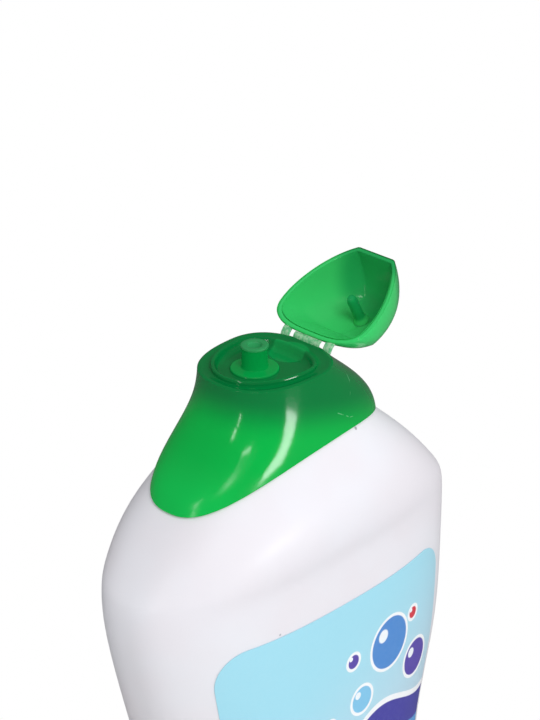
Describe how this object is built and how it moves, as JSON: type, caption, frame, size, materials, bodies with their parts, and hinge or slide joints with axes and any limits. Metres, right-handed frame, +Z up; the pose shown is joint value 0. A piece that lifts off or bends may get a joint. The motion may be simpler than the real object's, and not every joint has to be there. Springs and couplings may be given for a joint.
{
  "type": "cream cleaner bottle",
  "caption": "Flat white squeeze bottle for cream cleaner with a green press-fit closure, a nozzle and a flip lid on a living hinge",
  "frame": {"origin": "centre of the footprint on the surface that the bottle stands on", "axes": "+Z is up through the closure, -Y is the way the front label faces, +X is the side of the lid's hinge"},
  "size_m": [0.0999, 0.0444, 0.2154],
  "materials": {
    "bottle_plastic": "semi-matte white, slightly translucent polyethylene",
    "closure_plastic": "glossy translucent green polypropylene",
    "lid_plastic": "glossy translucent green polypropylene",
    "hinge_plastic": "thin pale green polypropylene, stretched at the fold",
    "label_front": null,
    "label_back": null
  },
  "bodies": {
    "bottle_body": {"bottle": "bottle_plastic", "closure": "closure_plastic", "living_hinge": "hinge_plastic", "front_label": "label_front", "back_label": "label_back"},
    "lid_body": {"lid": "lid_plastic"}
  },
  "joints": [
    {"name": "lid_hinge", "type": "hinge", "parent": "bottle_body", "child": "lid_body", "pos_m": [0.0087, 0, 0.20195], "axis": [0, 1, 0], "range_deg": [-152, 8]}
  ]
}
